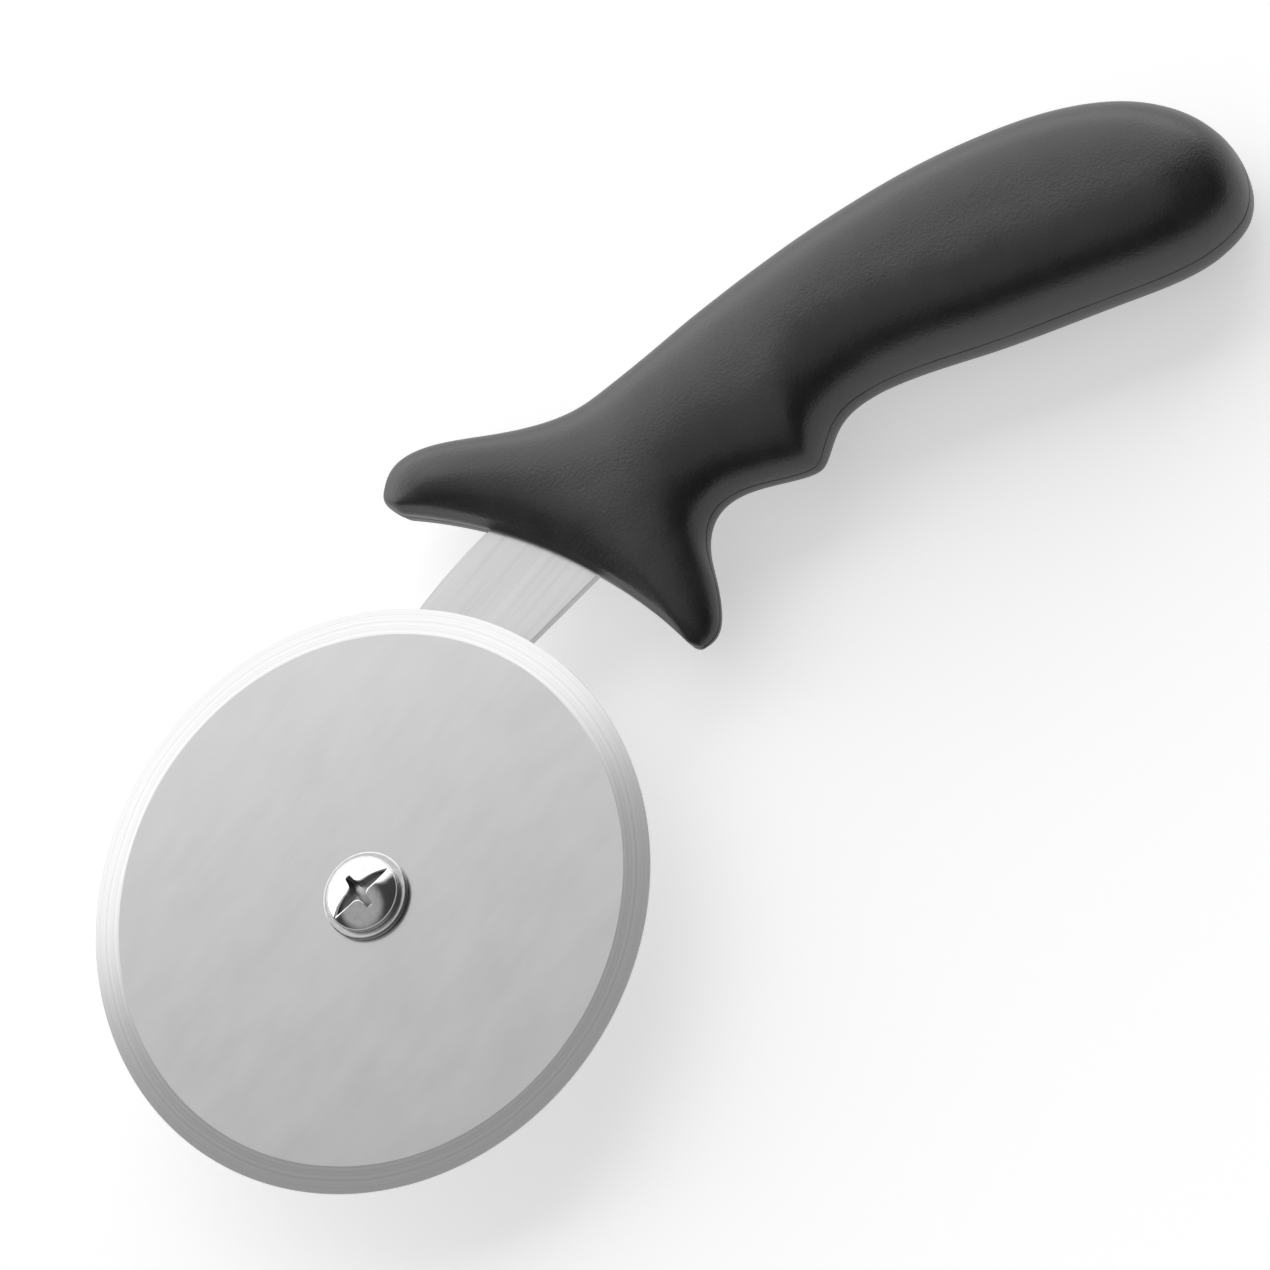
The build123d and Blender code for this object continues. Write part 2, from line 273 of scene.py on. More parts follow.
def join_finish(tree, shader, tint, rough, relief, strength, distance):
    """Joins a finish to its shader: its tint, its roughness, and a bump of its relief, with the
    bump's strength and its height in metres."""
    bump = add_node(tree, "ShaderNodeBump", Strength=strength, Distance=distance, Height=relief)
    tree.links.new(tint, shader.inputs["Base Color"])
    tree.links.new(rough, shader.inputs["Roughness"])
    tree.links.new(bump.outputs["Normal"], shader.inputs["Normal"])


def brushed_arm_steel():
    """Satin stainless sheet: fine straight brush lines along the arm, a few stray scratches and
    a slow change of gloss."""
    material, tree, shader = new_material("brushed_arm_steel")
    shader.inputs["Metallic"].default_value = 1.0
    place = add_node(tree, "ShaderNodeTexCoord").outputs["Object"]
    along = turned_axes(tree, place, arm_entry_angle + arm_brush_turn)
    brush = noise(tree, stretched(tree, along, (60.0, 4200.0, 60.0)), scale=1.0, detail=3.0)
    marks = noise(tree, stretched(tree, along, (25.0, 900.0, 25.0)), scale=1.0, detail=2.0)
    cloud = noise(tree, place, scale=90.0, detail=2.0)
    tint = ramp(tree, marks, [(0.3, 0.56), (0.5, 0.60), (0.72, 0.63)])
    rough = spread(tree, cloud, 0.30, 0.40)
    join_finish(tree, shader, tint, rough, brush, strength=0.05, distance=0.0001)
    return material


arm_outline, tang_holes = arm_edge()
arm_loops = [arm_outline, ring_points(np.zeros(2), axle_hole_radius, arm_arc_steps)]
arm_loops += [ring_points(place, tang_hole_radius, tang_arc_steps) for place in tang_holes]
arm_loops = [loop + axle[:2] for loop in arm_loops]
arm_mesh = plate_mesh("wheel_arm_plate", arm_loops, arm_low[2], arm_high[2], arm_edge_round)
show(arm_mesh, arm_sharp_angle, brushed_arm_steel(), "handle", "arm_steel", "wheel_arm")


# Handle: two halves moulded in black plastic with a fine matte grain, closed on the flat joint
# face over the arm's tang. A narrow groove shows where they meet, round the whole outline.
handle_length = 132.0 * mm
handle_depth = 62.6 * mm
handle_half_thickness = 13.2 * mm
shoulder_width = 3.6 * mm
neck_shoulder_widths = (4.5 * mm, 8.5 * mm)
neck_stations = (9, 15)
side_roundness = 2.4
least_roundness = 2.2
guard_front_radius = 98.0 * mm
guard_front_advance = 0.7 * mm
guard_front_flat = 4.0 * mm
guard_wall_height = 4.2 * mm
guard_wall_draft = math.radians(26.0)
guard_roll_radius = 16.0 * mm
guard_roll_tilt = math.radians(50.0)
guard_roll_last_tilt = math.radians(12.0)
guard_roll_blend = 1.0 * mm
guard_corner_round = 1.6 * mm
groove_height = 0.30 * mm
groove_depth = 0.22 * mm
groove_mean_share = 0.75
groove_waves = ((0.17, 3.1 * mm, 0.0), (0.08, 1.3 * mm, 1.0))
back_edge_shares = [
    (1.000, 0.185), (0.997, 0.235), (0.986, 0.302), (0.962, 0.377), (0.926, 0.444),
    (0.872, 0.504), (0.796, 0.549), (0.705, 0.568), (0.600, 0.566), (0.502, 0.545),
    (0.426, 0.521), (0.366, 0.497), (0.335, 0.483), (0.315, 0.473), (0.261, 0.444),
    (0.201, 0.404), (0.136, 0.366), (0.066, 0.344), (-0.017, 0.373), (-0.093, 0.420),
    (-0.147, 0.436), (-0.179, 0.416), (-0.197, 0.372), (-0.198, 0.326), (-0.186, 0.290),
]
belly_edge_shares = [
    (1.000, 0.169), (0.997, 0.129), (0.987, 0.077), (0.964, 0.033), (0.928, 0.004),
    (0.872, -0.008), (0.796, 0.001), (0.705, 0.014), (0.607, 0.031), (0.517, 0.052),
    (0.447, 0.048), (0.390, -0.010), (0.364, -0.083), (0.353, -0.095), (0.309, -0.084),
    (0.249, -0.066), (0.207, -0.100), (0.189, -0.182), (0.186, -0.273), (0.181, -0.355),
    (0.172, -0.409), (0.160, -0.434), (0.147, -0.444), (0.136, -0.438), (0.128, -0.418),
]
half_thickness_shares = [
    0.050, 0.280, 0.535, 0.760, 0.910, 0.980, 0.996, 1.000, 0.985, 0.940, 0.886, 0.833,
    0.808, 0.795, 0.765, 0.742, 0.725, 0.710, 0.685, 0.650, 0.600, 0.530, 0.420, 0.280, 0.030,
]
handle_sharp_angle = 40.0
rows_along = 260
columns_across = 110
search_rows = 1600
end_strips = 4
side_crowding = 2.4
end_crowding = 0.65
least_station_gap = 0.5 * mm
least_half_thickness = 0.02 * mm
shortest_edge = 0.005 * mm
merge_distance = 0.002 * mm


def curve_through(marks, values):
    """A smooth curve through values at their marks: the natural cubic spline, as a function."""
    gap = np.diff(marks)[:, None]
    slope = np.diff(values, axis=0) / gap
    count = len(marks)
    bend = np.eye(count)
    pull = np.zeros((count, values.shape[1]))
    inner = np.arange(1, count - 1)
    bend[inner, inner - 1] = gap[:-1, 0]
    bend[inner, inner] = 2 * (gap[:-1, 0] + gap[1:, 0])
    bend[inner, inner + 1] = gap[1:, 0]
    pull[1:-1] = 6 * (slope[1:] - slope[:-1])
    second = np.linalg.solve(bend, pull)

    def value_at(mark):
        k = np.clip(np.searchsorted(marks, mark, side="right") - 1, 0, count - 2)
        step = gap[k, 0][..., None]
        before = (marks[k + 1] - mark)[..., None]
        after = (mark - marks[k])[..., None]
        cubic = (second[k] * before**3 + second[k + 1] * after**3) / (6 * step)
        start = (values[k] / step - second[k] * step / 6) * before
        return cubic + start + (values[k + 1] / step - second[k + 1] * step / 6) * after

    return value_at


def outline_places(shares):
    """Places on the joint face from their shares of the handle's length and depth."""
    return guard_middle + np.array(shares) * [handle_length, handle_depth]


back_places = outline_places(back_edge_shares)
belly_places = outline_places(belly_edge_shares)
chord_middles = (back_places + belly_places) / 2
station_gap = np.linalg.norm(np.diff(chord_middles, axis=0), axis=1) + least_station_gap
station_marks = np.concatenate([[0.0], np.cumsum(station_gap)])
half_thicknesses = np.array(half_thickness_shares)[:, None] * handle_half_thickness
section_values = np.concatenate([back_places, belly_places, half_thicknesses], axis=1)
section_at = curve_through(station_marks, section_values)
guard_front_centre = guard_middle * (1 - (guard_front_radius + guard_front_advance) / guard_reach)


def handle_surface(mark, across):
    """Outer form of one half. mark runs from the butt to the guard along the row of sections,
    and across from -1 at the back edge to 1 at the belly edge. A section is a superellipse on
    the chord between the edges: |across|^n + |height|^m = 1 in shares of its half width and
    half thickness, where n keeps the shoulder equally wide on a wide section and a narrow one."""
    value = section_at(mark)
    back, belly = value[..., 0:2], value[..., 2:4]
    thick = np.maximum(value[..., 4], least_half_thickness)
    half = np.linalg.norm(belly - back, axis=-1) / 2
    first, last = station_marks[list(neck_stations)]
    neck = np.clip((mark - first) / (last - first), 0, 1)
    widest = np.where(across < 0, *neck_shoulder_widths)
    shoulder = shoulder_width + (widest - shoulder_width) * neck**2 * (3 - 2 * neck)
    shoulder = np.minimum(shoulder, half * (1 - 0.5 ** (1 / least_roundness)))
    power = math.log(0.5) / np.log(1 - shoulder / half)
    flat = (back + belly) / 2 + (belly - back) / 2 * across[..., None]
    height = thick * (1 - np.abs(across) ** power) ** (1 / side_roundness)
    return flat, height


def lead_of(flat):
    """Distance behind the guard's front edge, which is an arc in the plane of the wheel."""
    return np.linalg.norm(flat - guard_front_centre, axis=-1) - guard_front_radius


def rolled_front(height, lead):
    """Turns the broad face down to the front edge. From the joint face up stand a narrow flat and
    a wall with draft, flat + lead / tan(draft). Above the wall a long arc rolls into the face:
    wall + R * (cos(t) - cos(tilt)), where R * (sin(tilt) - sin(t)) is the distance past it. At
    its last tilt the arc runs on straight, above the face."""
    flat = guard_front_flat / 2
    wall_lead = (guard_wall_height - flat) * math.tan(guard_wall_draft)
    wall = flat + lead / math.tan(guard_wall_draft)
    last_sine = math.sin(guard_roll_last_tilt)
    sine = math.sin(guard_roll_tilt) - (lead - wall_lead) / guard_roll_radius
    past = np.maximum(last_sine - sine, 0) * guard_roll_radius * math.tan(guard_roll_last_tilt)
    sine = np.clip(sine, last_sine, 1)
    roll = guard_wall_height + guard_roll_radius * (np.sqrt(1 - sine**2) - math.cos(guard_roll_tilt)) + past
    limit = np.where(lead < wall_lead, wall, roll)
    near = np.maximum(guard_roll_blend - np.abs(height - limit), 0) / guard_roll_blend
    return np.minimum(height, limit) - near**2 * guard_roll_blend / 4


def first_past(lead):
    """For each column, the first row that lies past the front edge, or else the last row."""
    past = lead <= 0
    past[-1] = True
    return np.maximum(np.argmax(past, axis=0), 1)


def half_grid():
    """One half's outer form as places in the plane of the wheel and heights over the joint face.
    Its columns run from the butt to the guard's front arc, which is rounded back at the belly
    side, and upright strips stand under its first and its last row."""
    sweep = np.linspace(-1, 1, columns_across + 1)
    across = np.sign(sweep) * (1 - (1 - np.abs(sweep)) ** side_crowding)
    fine = np.linspace(0, station_marks[-1], search_rows)
    flat, _ = handle_surface(*np.broadcast_arrays(fine[:, None], across[None, :]))
    first = first_past(lead_of(flat))
    half_width = np.linalg.norm(flat[first, -1] - flat[first, 0], axis=-1) / 2
    from_side = np.clip(guard_corner_round - (1 - across) * half_width, 0, guard_corner_round)
    lead = lead_of(flat) - (guard_corner_round - np.sqrt(guard_corner_round**2 - from_side**2))
    first = first_past(lead)
    column = np.arange(len(across))
    before, after = lead[first - 1, column], lead[first, column]
    part = np.clip(before / np.maximum(before - after, 1e-9), 0, 1)
    end = fine[first - 1] + part * (fine[first] - fine[first - 1])
    even = np.linspace(0, 1, rows_along + 1)
    share = (1 - end_crowding) * even + end_crowding * (1 - np.cos(math.pi * even)) / 2
    mark = share[:, None] * end[None, :]
    flat, height = handle_surface(mark, np.broadcast_to(across, mark.shape))
    height = np.maximum(rolled_front(height, np.maximum(lead_of(flat), 0)), 0)
    height = groove_height + height * np.maximum(1 - groove_height / np.maximum(height, groove_height), 0)
    strips = np.linspace(0, 1, end_strips + 1)[:-1, None]
    butt = groove_height + (height[0] - groove_height) * strips
    front = groove_height + (height[-1] - groove_height) * strips[::-1]
    ends = [np.repeat(row, end_strips, axis=0) for row in (flat[:1], flat[-1:])]
    return np.concatenate([ends[0], flat, ends[1]]), np.concatenate([butt, height, front])


def quads_of(index):
    """Corners of the quads between neighbouring rows and columns of a grid of indices."""
    corners = [index[:-1, :-1], index[1:, :-1], index[1:, 1:], index[:-1, 1:]]
    return np.stack(corners, axis=-1).reshape(-1, 4)


def handle_half_mesh(name, side):
    """One half as a closed shell: the grid of its outer form, the groove's rounded lip, and the
    flat joint face. side is 1 for the front half and -1 for the rear one."""
    flat, height = half_grid()
    points = np.concatenate([flat + axle[:2], height[..., None]], axis=-1).reshape(-1, 3)
    index = np.arange(height.size).reshape(height.shape)
    rim = np.concatenate([index[0, :-1], index[:-1, -1], index[-1, :0:-1], index[:0:-1, 0]])
    loop = points[rim, :2]
    keep = np.linalg.norm(loop - np.roll(loop, 1, axis=0), axis=1) > shortest_edge
    rim, loop = rim[keep], loop[keep]
    area = np.sum(loop[:, 0] * np.roll(loop[:, 1], -1) - loop[:, 1] * np.roll(loop[:, 0], -1))
    inward = -loop_sides(loop) * math.copysign(1, area)
    rings = [rim]
    run = np.cumsum(np.linalg.norm(loop - np.roll(loop, 1, axis=0), axis=1))[:, None]
    waves = [part * np.sin(run / length + start) for part, length, start in groove_waves]
    uneven = groove_mean_share + sum(waves)
    for angle in np.radians([30.0, 60.0, 90.0]):
        ring = loop + inward * groove_depth * uneven * (1 - math.cos(angle))
        level = np.full((len(ring), 1), groove_height * (1 - math.sin(angle)))
        rings.append(len(points) + np.arange(len(ring)))
        points = np.concatenate([points, np.concatenate([ring, level], axis=1)])
    shape = bmesh.new()
    verts = [shape.verts.new((x, y, joint_height + side * z)) for x, y, z in points]
    for corners in quads_of(index):
        shape.faces.new([verts[k] for k in corners])
    for upper, lower in zip(rings, rings[1:]):
        for k in range(len(upper)):
            after = (k + 1) % len(upper)
            shape.faces.new([verts[j] for j in (upper[k], upper[after], lower[after], lower[k])])
    last = rings[-1]
    edges = [shape.edges.get((verts[j], verts[k])) for j, k in zip(last, np.roll(last, -1))]
    bmesh.ops.triangle_fill(shape, edges=edges, use_beauty=True, use_dissolve=False)
    bmesh.ops.remove_doubles(shape, verts=shape.verts, dist=merge_distance)
    return finished_mesh(name, shape)


def grained_black_plastic():
    """Black moulded plastic: a fine spark-eroded grain in the surface, with faint clouds in its
    tone and its gloss."""
    material, tree, shader = new_material("grained_black_plastic")
    shader.inputs["Specular IOR Level"].default_value = 0.75
    place = add_node(tree, "ShaderNodeTexCoord").outputs["Object"]
    grain = noise(tree, place, scale=1800.0, detail=5.0, roughness=0.65)
    pits = add_node(tree, "ShaderNodeTexVoronoi", Vector=place, Scale=1900.0).outputs["Distance"]
    cloud = noise(tree, place, scale=200.0, detail=6.0)
    tint = ramp(tree, cloud, [(0.35, 0.016), (0.65, 0.026)])
    rough = spread(tree, cloud, 0.34, 0.43)
    relief = combine(tree, "ADD", grain, pits)
    join_finish(tree, shader, tint, rough, relief, strength=0.34, distance=0.00008)
    return material


plastic = grained_black_plastic()
for half_name, side, node in (
    ("handle_front_half", 1, "handle_front_shell"),
    ("handle_rear_half", -1, "handle_rear_shell"),
):
    show(handle_half_mesh(half_name, side), handle_sharp_angle, plastic, "handle", "black_plastic", node)


# Spacer washer and sleeve: the spacer is a zinc plated ring that holds the wheel off the arm. The
# sleeve is a turned brass bush, a little taller than the wheel is thick, on which the wheel runs.
bore_radius = 2.6 * mm
sleeve_radius = 4.0 * mm
ring_edge_round = 0.12 * mm
ring_sharp_angle = 40.0
ring_steps = 128
off_arc_share = 0.15


def eased(corners, radii, closed=True, steps=5):
    """A profile whose corners are replaced by arcs: at each corner the arc of its radius touches
    both neighbouring sides, so its centre lies on the corner's bisector. A point on each side,
    just off the arc, keeps the flat beside it flat in its shading."""
    corners = np.asarray(corners, dtype=float)
    radii = np.broadcast_to(radii, len(corners))
    profile = []
    for k, corner in enumerate(corners):
        if radii[k] == 0 or (not closed and k in (0, len(corners) - 1)):
            profile.append(corner[None])
            continue
        before = corners[k - 1] - corner
        after = corners[(k + 1) % len(corners)] - corner
        before, after = before / np.linalg.norm(before), after / np.linalg.norm(after)
        half = math.acos(np.clip(before @ after, -1, 1)) / 2
        centre = corner + (before + after) / np.linalg.norm(before + after) * radii[k] / math.sin(half)
        first = corner + before * radii[k] / math.tan(half) - centre
        last = corner + after * radii[k] / math.tan(half) - centre
        sweep = math.pi - 2 * half
        share = np.linspace(0, 1, steps)[:, None]
        curve = np.sin((1 - share) * sweep) * first + np.sin(share * sweep) * last
        curve = centre + curve / math.sin(sweep)
        off_arc = off_arc_share * radii[k]
        profile.append(np.concatenate([curve[:1] + before * off_arc, curve, curve[-1:] + after * off_arc]))
    return np.concatenate(profile)


def grid_mesh(name, points, around=True, along=True, poles=()):
    """A mesh of quads over a grid of places, rows by columns. It closes around its columns and
    along its rows where asked. poles closes the first and the last row, each with a fan."""
    rows, columns = points.shape[:2]
    index = np.arange(rows * columns).reshape(rows, columns)
    if around:
        index = np.concatenate([index, index[:, :1]], axis=1)
    if along:
        index = np.concatenate([index, index[:1]], axis=0)
    faces = quads_of(index).tolist()
    places = [points.reshape(-1, 3)]
    for pole, edge in zip(poles, (index[0], index[-1])):
        top = sum(len(part) for part in places)
        places.append(np.asarray(pole, dtype=float)[None])
        faces += [[int(edge[k]), int(edge[k + 1]), top] for k in range(len(edge) - 1)]
    mesh = bpy.data.meshes.new(name)
    mesh.from_pydata(np.concatenate(places).tolist(), [], faces)
    shape = bmesh.new()
    shape.from_mesh(mesh)
    bmesh.ops.recalc_face_normals(shape, faces=shape.faces)
    shape.to_mesh(mesh)
    shape.free()
    return mesh


def round_axle(radius, angle, height):
    """Places at a radius from the axle, an angle round it and a height over the joint face."""
    flat = [axle[0] + radius * np.cos(angle), axle[1] + radius * np.sin(angle)]
    return np.stack([*flat, np.broadcast_to(joint_height + height, flat[0].shape)], axis=-1)


def turned(profile, steps):
    """Grid of a form turned on the axle: each pair of radius and height goes once round."""
    return round_axle(profile[:, 0, None], round_angles(steps), profile[:, 1, None])


def flat_ring(inner, outer, low, high):
    """Corners of a flat ring's profile, with heights over the joint face."""
    return [(inner, low), (outer, low), (outer, high), (inner, high)]


def heights_of(node):
    """Lowest and highest height of a node over the joint face."""
    low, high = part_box(node)
    return low[2] - joint_height, high[2] - joint_height


def zinc_plate():
    """Bright zinc on steel: a slightly clouded, pale blue-grey plate with a very fine grain."""
    material, tree, shader = new_material("zinc_plate")
    shader.inputs["Metallic"].default_value = 1.0
    place = add_node(tree, "ShaderNodeTexCoord").outputs["Object"]
    cloud = noise(tree, place, scale=700.0, detail=4.0)
    fine = noise(tree, place, scale=9000.0, detail=2.0)
    tint = ramp(tree, cloud, [(0.0, (0.50, 0.52, 0.54)), (1.0, (0.66, 0.67, 0.68))])
    rough = spread(tree, cloud, 0.24, 0.42)
    join_finish(tree, shader, tint, rough, fine, strength=0.15, distance=0.00002)
    return material


def turned_brass():
    """Brass as it leaves the lathe: rings of tool marks round the axle and a warm, clean sheen."""
    material, tree, shader = new_material("turned_brass")
    shader.inputs["Metallic"].default_value = 1.0
    place = add_node(tree, "ShaderNodeTexCoord").outputs["Object"]
    marks = noise(tree, stretched(tree, place, (40.0, 40.0, 30000.0)), scale=1.0, detail=2.0)
    tint = ramp(tree, marks, [(0.0, (0.62, 0.45, 0.20)), (1.0, (0.78, 0.62, 0.33))])
    rough = spread(tree, marks, 0.18, 0.30)
    join_finish(tree, shader, tint, rough, marks, strength=0.2, distance=0.00001)
    return material


zinc = zinc_plate()
spacer_radius = (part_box("spacer_washer")[1][0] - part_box("spacer_washer")[0][0]) / 2
for ring_name, node, outer, finish, slot_name in (
    ("spacer_ring", "spacer_washer", spacer_radius, zinc, "zinc_steel"),
    ("running_sleeve", "wheel_sleeve", sleeve_radius, turned_brass(), "sleeve_brass"),
):
    profile = eased(flat_ring(bore_radius, outer, *heights_of(node)), ring_edge_round)
    ring_mesh = grid_mesh(ring_name, turned(profile, ring_steps))
    show(ring_mesh, ring_sharp_angle, finish, "handle", slot_name, node)


# Cutting wheel: stainless sheet with a satin face, ground on both sides to a thin edge. The
# grinding leaves fine rings on the bevel, and the line where it meets the face wanders a little.
wheel_bore_radius = 4.05 * mm
wheel_rim_radius = 50.8 * mm
bevel_width = 4.6 * mm
edge_thickness = 0.25 * mm
bevel_wander = 0.05 * mm
bevel_waves = ((0.6, 3, 0.7), (0.4, 8, 2.0))
wheel_bore_edge = 0.1 * mm
wheel_rim_step = 0.02 * mm
wheel_sharp_angle = 2.5
wheel_steps = 720
wiping_angle = math.radians(30.0)
bevel_ring_drift = 0.6 * mm


def cutting_wheel_grid(low, high):
    """The wheel's profile carried round the axle: face, bevel, edge, bevel and face. Where the
    grid meets the bevel line, its radius gets the sum of two waves round the wheel."""
    middle = (low + high) / 2
    bevel_start = wheel_rim_radius - bevel_width
    side = [
        (wheel_bore_radius, high - wheel_bore_edge),
        (wheel_bore_radius + wheel_bore_edge, high),
        (bevel_start / 2, high),
        (bevel_start, high),
        (wheel_rim_radius - bevel_width / 2, (high + middle + edge_thickness / 2) / 2),
        (wheel_rim_radius - wheel_rim_step, middle + edge_thickness / 2),
        (wheel_rim_radius, middle + edge_thickness / 3),
    ]
    profile = np.array(side + [(radius, 2 * middle - height) for radius, height in side[::-1]])
    grid = turned(profile, wheel_steps)
    angle = round_angles(wheel_steps)
    waves = [part * np.sin(count * angle + start) for part, count, start in bevel_waves]
    wave = bevel_wander * sum(waves)
    outward = np.stack([np.cos(angle), np.sin(angle)], axis=1)
    bevel_row = side.index((bevel_start, high))
    for row, sign in ((bevel_row, 1.0), (len(profile) - 1 - bevel_row, -1.0)):
        grid[row, :, :2] += outward * (sign * wave)[:, None]
    return grid


def satin_wheel_face():
    """Rolled and lightly brushed sheet: an even satin with faint slanting marks, a few soft
    clouds where it has been wiped, and a very fine grain."""
    material, tree, shader = new_material("satin_wheel_face")
    shader.inputs["Metallic"].default_value = 1.0
    place = add_node(tree, "ShaderNodeTexCoord").outputs["Object"]
    wiped = turned_axes(tree, place, wiping_angle)
    marks = noise(tree, stretched(tree, wiped, (45.0, 1500.0, 45.0)), scale=1.0, detail=4.0)
    cloud = noise(tree, stretched(tree, wiped, (90.0, 200.0, 90.0)), scale=1.0, detail=3.0)
    grain = noise(tree, place, scale=3000.0, detail=2.0)
    shade = combine(tree, "ADD", combine(tree, "MULTIPLY", marks, 0.3), cloud)
    tint = ramp(tree, shade, [(0.43, 0.585), (0.65, 0.60), (0.87, 0.612)])
    rough = spread(tree, cloud, 0.23, 0.27)
    relief = combine(tree, "ADD", marks, grain)
    join_finish(tree, shader, tint, rough, relief, strength=0.02, distance=0.00005)
    return material


def ground_bevel():
    """The ground bevel: a little darker and glossier than the face, covered with the fine rings
    that a stone leaves about the axle, some of them deeper."""
    material, tree, shader = new_material("ground_bevel")
    shader.inputs["Metallic"].default_value = 1.0
    place = add_node(tree, "ShaderNodeTexCoord").outputs["Object"]
    centred = add_node(tree, "ShaderNodeVectorMath", {"operation": "SUBTRACT"}, i0=place)
    centred.inputs[1].default_value = tuple(axle)
    split = add_node(tree, "ShaderNodeSeparateXYZ", Vector=centred.outputs["Vector"])
    flat = add_node(tree, "ShaderNodeCombineXYZ", X=split.outputs["X"], Y=split.outputs["Y"])
    radius = add_node(tree, "ShaderNodeVectorMath", {"operation": "LENGTH"}, i0=flat.outputs["Vector"])
    slow = noise(tree, centred.outputs["Vector"], scale=60.0, detail=1.0)
    drift = combine(tree, "MULTIPLY", slow, bevel_ring_drift)
    ring = combine(tree, "ADD", radius.outputs["Value"], drift)
    outwards = {"noise_dimensions": "1D"}
    fine = add_node(tree, "ShaderNodeTexNoise", outwards, W=ring, Scale=9000.0, Detail=3.0).outputs["Fac"]
    coarse = add_node(tree, "ShaderNodeTexNoise", outwards, W=ring, Scale=2200.0, Detail=1.0).outputs["Fac"]
    tint = ramp(tree, coarse, [(0.3, 0.53), (0.5, 0.57), (0.7, 0.60)])
    rough = spread(tree, fine, 0.14, 0.26)
    relief = combine(tree, "ADD", fine, coarse)
    join_finish(tree, shader, tint, rough, relief, strength=0.08, distance=0.00005)
    return material


wheel_mesh = grid_mesh("bevelled_wheel", cutting_wheel_grid(*heights_of("cutting_wheel")))
show(wheel_mesh, wheel_sharp_angle, satin_wheel_face(), "wheel", "wheel_steel", "cutting_wheel")
wheel_mesh.materials.append(ground_bevel())
face_middles = np.array([face.center[:2] for face in wheel_mesh.polygons])
face_radius = np.linalg.norm(face_middles - axle[:2], axis=1)
on_bevel = (face_radius > wheel_rim_radius - bevel_width).astype(np.int32)
wheel_mesh.polygons.foreach_set("material_index", on_bevel)


# Head washer and axle screw: a bright plated washer under a truss head screw. The head's recess
# was struck cold, so its slot runs out to points and its lips are rounded over.
head_washer_radius = 7.6 * mm
washer_edge_rounds = [0.05 * mm, 0.10 * mm, 0.28 * mm, 0.10 * mm]
washer_steps = 240
screw_radius = 2.5 * mm
head_radius = 6.5 * mm
head_dome = 1.9 * mm
head_flange = 0.25 * mm
head_crease = 0.03 * mm
head_edge_round = 0.12 * mm
head_foot_round = 0.18 * mm
head_root_round = 0.15 * mm
slot_angle = math.radians(20.5)
slot_reach = 5.95 * mm
slot_half_width = 0.95 * mm
slot_depth = 1.8 * mm
slot_narrowing = 2.4
slot_floor_rise = 1.8
cross_reach = 3.4 * mm
cross_root_half_width = 0.92 * mm
cross_tip_half_width = 0.46 * mm
cross_depth = 2.3 * mm
cross_tip_round = 0.3 * mm
recess_corner = 1.1 * mm
recess_wall = 0.34 * mm
recess_wall_start = 0.04 * mm
lip_width = 0.24 * mm
lip_depth = 0.07 * mm
recess_fade = 0.4 * mm
recess_fade_start = 0.4
# The colour deep in the screw's recess, darker than the plate: painted shade.
painted_shade_tone = 0.42
recess_roughness = 0.32
thread_pitch = 0.8 * mm
thread_depth = 0.42 * mm
thread_run_in = 0.3 * mm
thread_row = 0.06 * mm
thread_root_share = 1.25
thread_flank_share = 1.5
screw_tip_chamfer = 0.5 * mm
screw_steps = 360
dome_rows = 130
dome_first_share = 0.03
screw_sharp_angle = 40.0


def smooth_least(first, second, reach):
    """The lesser of two values, rounded off over a reach where they come near each other."""
    near = np.maximum(reach - np.abs(first - second), 0) / reach
    return np.minimum(first, second) - near**2 * reach / 4


def recess_depth(along, across):
    """Depth of the recess below the dome: the slot is a leaf that narrows to its two points,
    the short arms taper a little, and where they meet the corners are rounded in plan. The
    slot's floor rises outwards, the short arms are deeper and level, and all walls fall from a
    rounded lip."""
    s, c = np.abs(along), np.abs(across)
    slot_share = np.clip(s / slot_reach, 0, 1)
    slot_side = slot_half_width * (1 - slot_share**slot_narrowing) - c
    slot_side = np.where(s < slot_reach, slot_side, -np.hypot(s - slot_reach, c))
    cross_share = np.clip(c / cross_reach, 0, 1)
    cross_half_width = cross_root_half_width + (cross_tip_half_width - cross_root_half_width) * cross_share
    cross_side = smooth_least(cross_half_width - s, cross_reach - c, cross_tip_round)
    inside = -smooth_least(-slot_side, -cross_side, recess_corner)
    wall = np.clip((inside + recess_wall_start) / recess_wall, 0, 1)
    wall = wall**2 * (3 - 2 * wall)
    lip = lip_depth * np.clip((inside + lip_width) / lip_width, 0, 1) ** 2
    slot_floor = slot_depth * np.sqrt(np.maximum(1 - slot_share**slot_floor_rise, 0))
    cross_floor = np.where(cross_side > 0, cross_depth, 0)
    return np.maximum(wall * np.clip(np.maximum(slot_floor, cross_floor), 0, cross_depth), lip)


